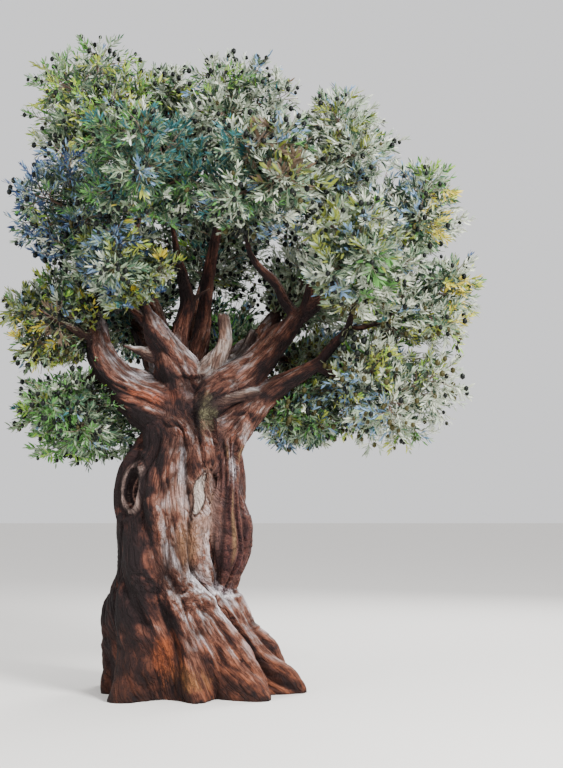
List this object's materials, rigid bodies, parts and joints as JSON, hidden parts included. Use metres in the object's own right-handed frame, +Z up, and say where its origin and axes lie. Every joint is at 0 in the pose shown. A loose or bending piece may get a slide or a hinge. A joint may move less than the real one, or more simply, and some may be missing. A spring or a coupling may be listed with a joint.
{
  "type": "olive tree",
  "caption": "Old gnarled olive tree with a thick leaning trunk, flared roots, crooked boughs, bare snags and a wide silvery crown in rounded masses of foliage.",
  "frame": {"origin": "on the flat cut at ground level, under the trunk's crotch", "axes": "+Z up, +X to the viewer's right in the reference view, -Y towards the viewer"},
  "size_m": [4.0019, 3.2319, 5.3072],
  "materials": {
    "bark": "rough, deeply furrowed grey-brown bark, umber in the furrows",
    "bare_wood": "weathered bare wood, matte and pale",
    "leaves_green": "leathery leaves, satin deep green",
    "leaves_silver": "leathery leaves, satin silver-green",
    "leaves_yellow": "young and turning leaves, satin yellow-green",
    "leaves_blue": "leathery leaves, satin blue-green"
  },
  "bodies": {
    "root": {"trunk": "bark", "bough_left": "bark", "bough_upper_left": "bark", "bough_right": "bark", "bough_low_right": "bark", "bough_rear_left": "bark", "bough_rear_right": "bark", "bough_rear_centre": "bark", "bough_rear_low": "bark", "bough_rear_low_right": "bark", "bough_left_low": "bark", "bough_left_arm": "bark", "bough_back_left": "bark", "bough_high_left": "bark", "bough_high_middle": "bark", "bough_high_centre": "bark", "bough_right_inner": "bark", "bough_right_middle": "bark", "bough_right_outer": "bark", "bough_low_right_upper": "bark", "bough_low_right_outer": "bark", "bough_low_right_lower": "bark", "bough_low_inner": "bark", "twig_left_bare": "bare_wood", "snag_left": "bare_wood", "twig_back_left_bare": "bare_wood", "stub_centre": "bare_wood", "stub_right": "bare_wood", "spur_dead": "bare_wood", "foliage_top_left": "leaves_green", "foliage_top_middle": "leaves_green", "foliage_top_centre": "leaves_silver", "foliage_upper_right": "leaves_silver", "foliage_right": "leaves_silver", "foliage_far_right": "leaves_yellow", "foliage_low_right": "leaves_yellow", "foliage_low_inner": "leaves_green", "foliage_left_upper": "leaves_blue", "foliage_left_middle": "leaves_green", "foliage_low_left": "leaves_green", "foliage_front_upper_left": "leaves_blue", "foliage_front_upper_right": "leaves_silver", "foliage_front_right": "leaves_silver", "foliage_front_left": "leaves_yellow", "foliage_rear_left": "leaves_green", "foliage_rear_centre": "leaves_silver", "foliage_rear_right": "leaves_silver", "foliage_rear_low": "leaves_green", "foliage_rear_low_right": "leaves_green"}
  },
  "joints": []
}
